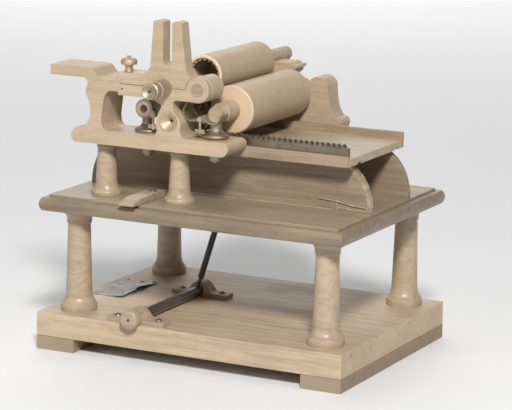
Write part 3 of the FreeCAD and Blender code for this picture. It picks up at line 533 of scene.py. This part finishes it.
# ---------------------------------------------------------------- small fittings
def curled_plate():
    """Thin tin sheet, pinned at its far end, whose right edge has lifted and rippled.

    Height is a lift that grows with the cube of the distance to the right edge times a slow
    wave along it, plus small dents; both ends of the lift die away at the tacks.
    """
    low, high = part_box("tin_plate")
    u, v = np.meshgrid(np.linspace(0, 1, 60), np.linspace(0, 1, 90))
    lift = 2.6 * u ** 3 * np.sin(math.pi * (0.12 + 0.80 * v)) * (1 - 0.35 * np.sin(9 * v))
    corner = 1.7 * np.clip(u + (1 - v) - 1.45, 0, None) ** 1.5
    dents = 0.10 * np.sin(17 * u + 5 * v) * np.sin(13 * v - 4 * u) * u
    ragged = 0.6 * np.sin(23 * v) * u ** 8
    spots = np.stack([low.x + (high.x - low.x) * u + ragged * MM - 0.001 * u,
                      low.y + (high.y - low.y) * v + 0.5 * MM * np.sin(21 * u) * (1 - v) ** 6,
                      low.z + MM * (0.05 + np.clip(lift + corner + dents, 0, None))], -1)
    obj = grid_piece("tin_sheet", spots)
    wall = obj.modifiers.new("sheet", "SOLIDIFY")
    wall.thickness, wall.offset = 0.35 * MM, 1.0
    finish_piece(obj, "stand", "tin", replaces=("tin_plate",))
    z = low.z + 0.4 * MM
    tacks = [(low.x + 0.004, high.y - 0.003, z), (low.x + 0.019, high.y - 0.004, z),
             (high.x - 0.004, high.y - 0.003, z + 0.7 * MM), (low.x + 0.004, low.y + 0.005, z)]
    head = [(0, -0.4), (1.5, -0.4), (1.6, 0.1), (1.3, 0.55), (0.7, 0.8), (0, 0.86)]
    finish_piece(studs("tack_heads", tacks, head), "stand", "screw_steel",
                 replaces=("plate_tacks",))


def strip(name, line, width, thick, face_y, wave=0.0):
    """A thin flat strip on a face that looks along -Y.

    A grid across and along a line of (x, z) points, its edges falling back to the face and its
    width wavering slowly, closed by a flat back just under the face.
    """
    along = np.linspace(0, 1, 80)
    x, z = (np.interp(along, np.linspace(0, 1, len(line)), axis) for axis in zip(*line))
    half = width * MM / 2 * (1 + wave * np.sin(31 * along) * np.sin(11 * along + 1))
    half = half * np.clip(np.minimum(along, 1 - along) * 14, 0.05, 1)
    side = np.array([-1.0, -0.7, 0.7, 1.0, 1.0, -1.0])
    out = np.array([0.0, 1.0, 1.0, 0.0, -0.4, -0.4])
    spots = np.stack([np.repeat(x[:, None], 6, 1), face_y - out * thick * MM * np.ones((80, 1)),
                      z[:, None] + half[:, None] * side], -1)
    ends = [np.repeat(spots[k].mean(0)[None, None], 6, 1) for k in (0, -1)]
    return close(grid_piece(name, np.concatenate([ends[0], spots, ends[1]]), wrap=True))


def mended_corner():
    """The front way's lower right corner: a let-in sliver, its glue cracks and a small cramp."""
    low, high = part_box("way_front")
    z, start, end = low.z, high.x - 0.115 * (high.x - low.x), high.x - 0.004
    crack = [(start - 0.020, z + 0.0086), (start, z + 0.0068), (end - 0.014, z + 0.0046),
             (end, z + 0.0036)]
    upper = [(x, h + 0.0009) for x, h in crack]
    lower = [(start, z + 0.0030), (end - 0.012, z + 0.0016), (end, z + 0.0018)]
    bar = [(start - 0.0001, z + 0.0005), (start, z + 0.0092)]
    foot = [(low.x + 0.04, z + 0.0003), (0, z + 0.0003), (start, z + 0.0003)]
    for name, line, width, thick, wave, slot, finish in (
            ("way_crack", crack, 0.85, 0.05, 0.4, "way_wood", "crack_dark"),
            ("way_crack_edge", upper, 0.8, 0.08, 0.6, "way_wood", "pale_wood"),
            ("way_splint_edge", lower, 0.9, 0.08, 0.5, "way_wood", "pale_wood"),
            ("way_cramp", bar, 3.6, 0.9, 0.0, "steel", "cramp_metal"),
            ("way_glue_line", foot, 0.7, 0.3, 0.5, "way_wood", "glue")):
        finish_piece(strip(name, line, width, thick, low.y, wave), "stand", slot, finish)


def bar_joint():
    """The shadow line where the forked cap lies on the split bar, and the bar's small plug."""
    low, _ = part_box("fork_cap")
    middle, split = centre_of("crank_shaft")
    boss_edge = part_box("boss_dowel")[0].x - 0.006
    for name, start, end, width in (
            ("bar_joint_left", low.x + 0.0006, middle - 0.0158, 0.55),
            ("bar_joint_right", middle + 0.0085, boss_edge, 0.45)):
        line = [(start, split), (end, split)]
        finish_piece(strip(name, line, width, 0.05, low.y), "stand", "bar_wood", "crack_dark")
    plug = [(0, -0.5), (0.9, -0.5), (0.9, 0.02), (0.7, 0.12), (0, 0.14)]
    at = [(low.x + 0.0038, low.y, split - 0.0044)]
    finish_piece(studs("bar_plug", at, plug, "-y", 16), "stand", "bar_wood", "nail_dark")


def brads():
    """Small nail heads along the mouldings' faces, a little below the surface's run."""
    head = [(0, -0.5), (0.55, -0.5), (0.55, 0.02), (0.4, 0.10), (0, 0.12)]
    low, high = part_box("moulding_front")
    z = (low.z + high.z) / 2
    front = [(low.x + (high.x - low.x) * s, low.y, z) for s in (0.06, 0.3, 0.56, 0.79, 0.95)]
    finish_piece(studs("moulding_brads_front", front, head, "-y", 12), "stand",
                 "moulding_wood", "nail_dark")
    low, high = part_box("moulding_right")
    right = [(high.x, low.y + (high.y - low.y) * s, z) for s in (0.1, 0.37, 0.64, 0.9)]
    finish_piece(studs("moulding_brads_right", right, head, "x", 12), "stand",
                 "moulding_wood", "nail_dark")


camera()
studio()
dress_nodes()
for node, width in EASED.items():
    eased(node, width)
curled_plate()
mended_corner()
bar_joint()
brads()
